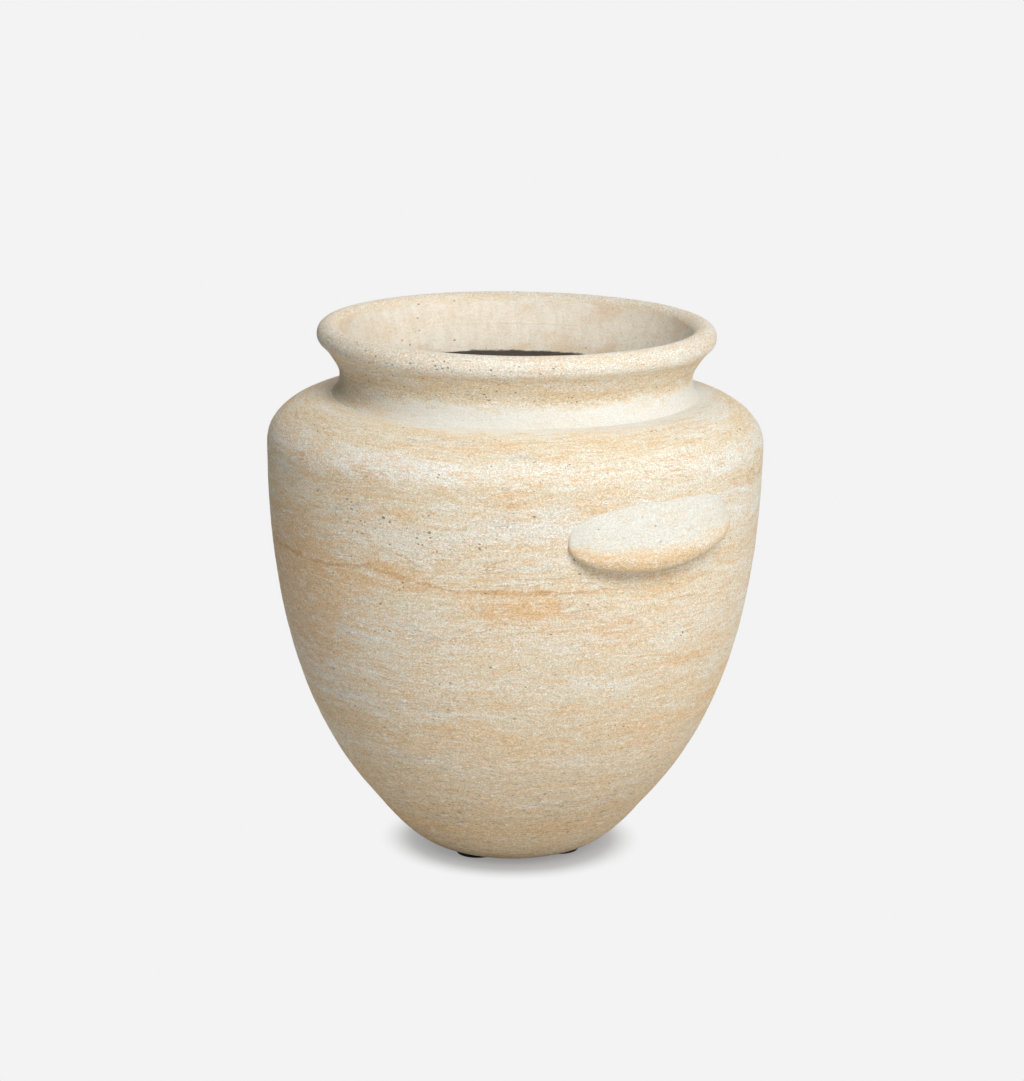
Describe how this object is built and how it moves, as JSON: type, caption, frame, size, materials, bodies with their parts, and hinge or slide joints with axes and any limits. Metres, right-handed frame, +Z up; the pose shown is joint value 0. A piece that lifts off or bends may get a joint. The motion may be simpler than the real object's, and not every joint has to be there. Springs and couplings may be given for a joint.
{
  "type": "pithos storage jar",
  "caption": "Large open jar with a narrow foot, broad shoulder, waisted neck, rolled rim, tongue-shaped lug handles on opposite sides and a drain plug; matt travertine look.",
  "frame": {"origin": "on the floor, on the jar's axis, at the centre of the circle of its pads", "axes": "+Z up along the jar's axis, +X out through one lug handle, +Y to the side between the handles"},
  "size_m": [0.5436, 0.5, 0.5422],
  "materials": {
    "travertine_clay": "matt cream travertine look with ochre strata, veins and small pores",
    "dark_coating": "matt dark brown-grey brushed-on waterproof coating",
    "plug_rubber": "matt black rubber",
    "pad_rubber": "matt black rubber"
  },
  "bodies": {
    "jar": {"base_dish": "travertine_clay", "lower_wall_course": "travertine_clay", "middle_wall_course": "travertine_clay", "upper_wall_course": "travertine_clay", "belly_course": "travertine_clay", "shoulder_course": "travertine_clay", "neck_collar": "travertine_clay", "rim_coil": "travertine_clay", "lug_handle_right": "travertine_clay", "lug_handle_left": "travertine_clay", "inside_coating": "dark_coating", "foot_pad_right": "pad_rubber", "foot_pad_back": "pad_rubber", "foot_pad_left": "pad_rubber", "foot_pad_front": "pad_rubber"},
    "plug": {"drain_plug": "plug_rubber"}
  },
  "joints": [
    {"name": "plug_lift", "type": "slide", "parent": "jar", "child": "plug", "axis": [0, 0, 1], "range_m": [0, 0.56]}
  ]
}
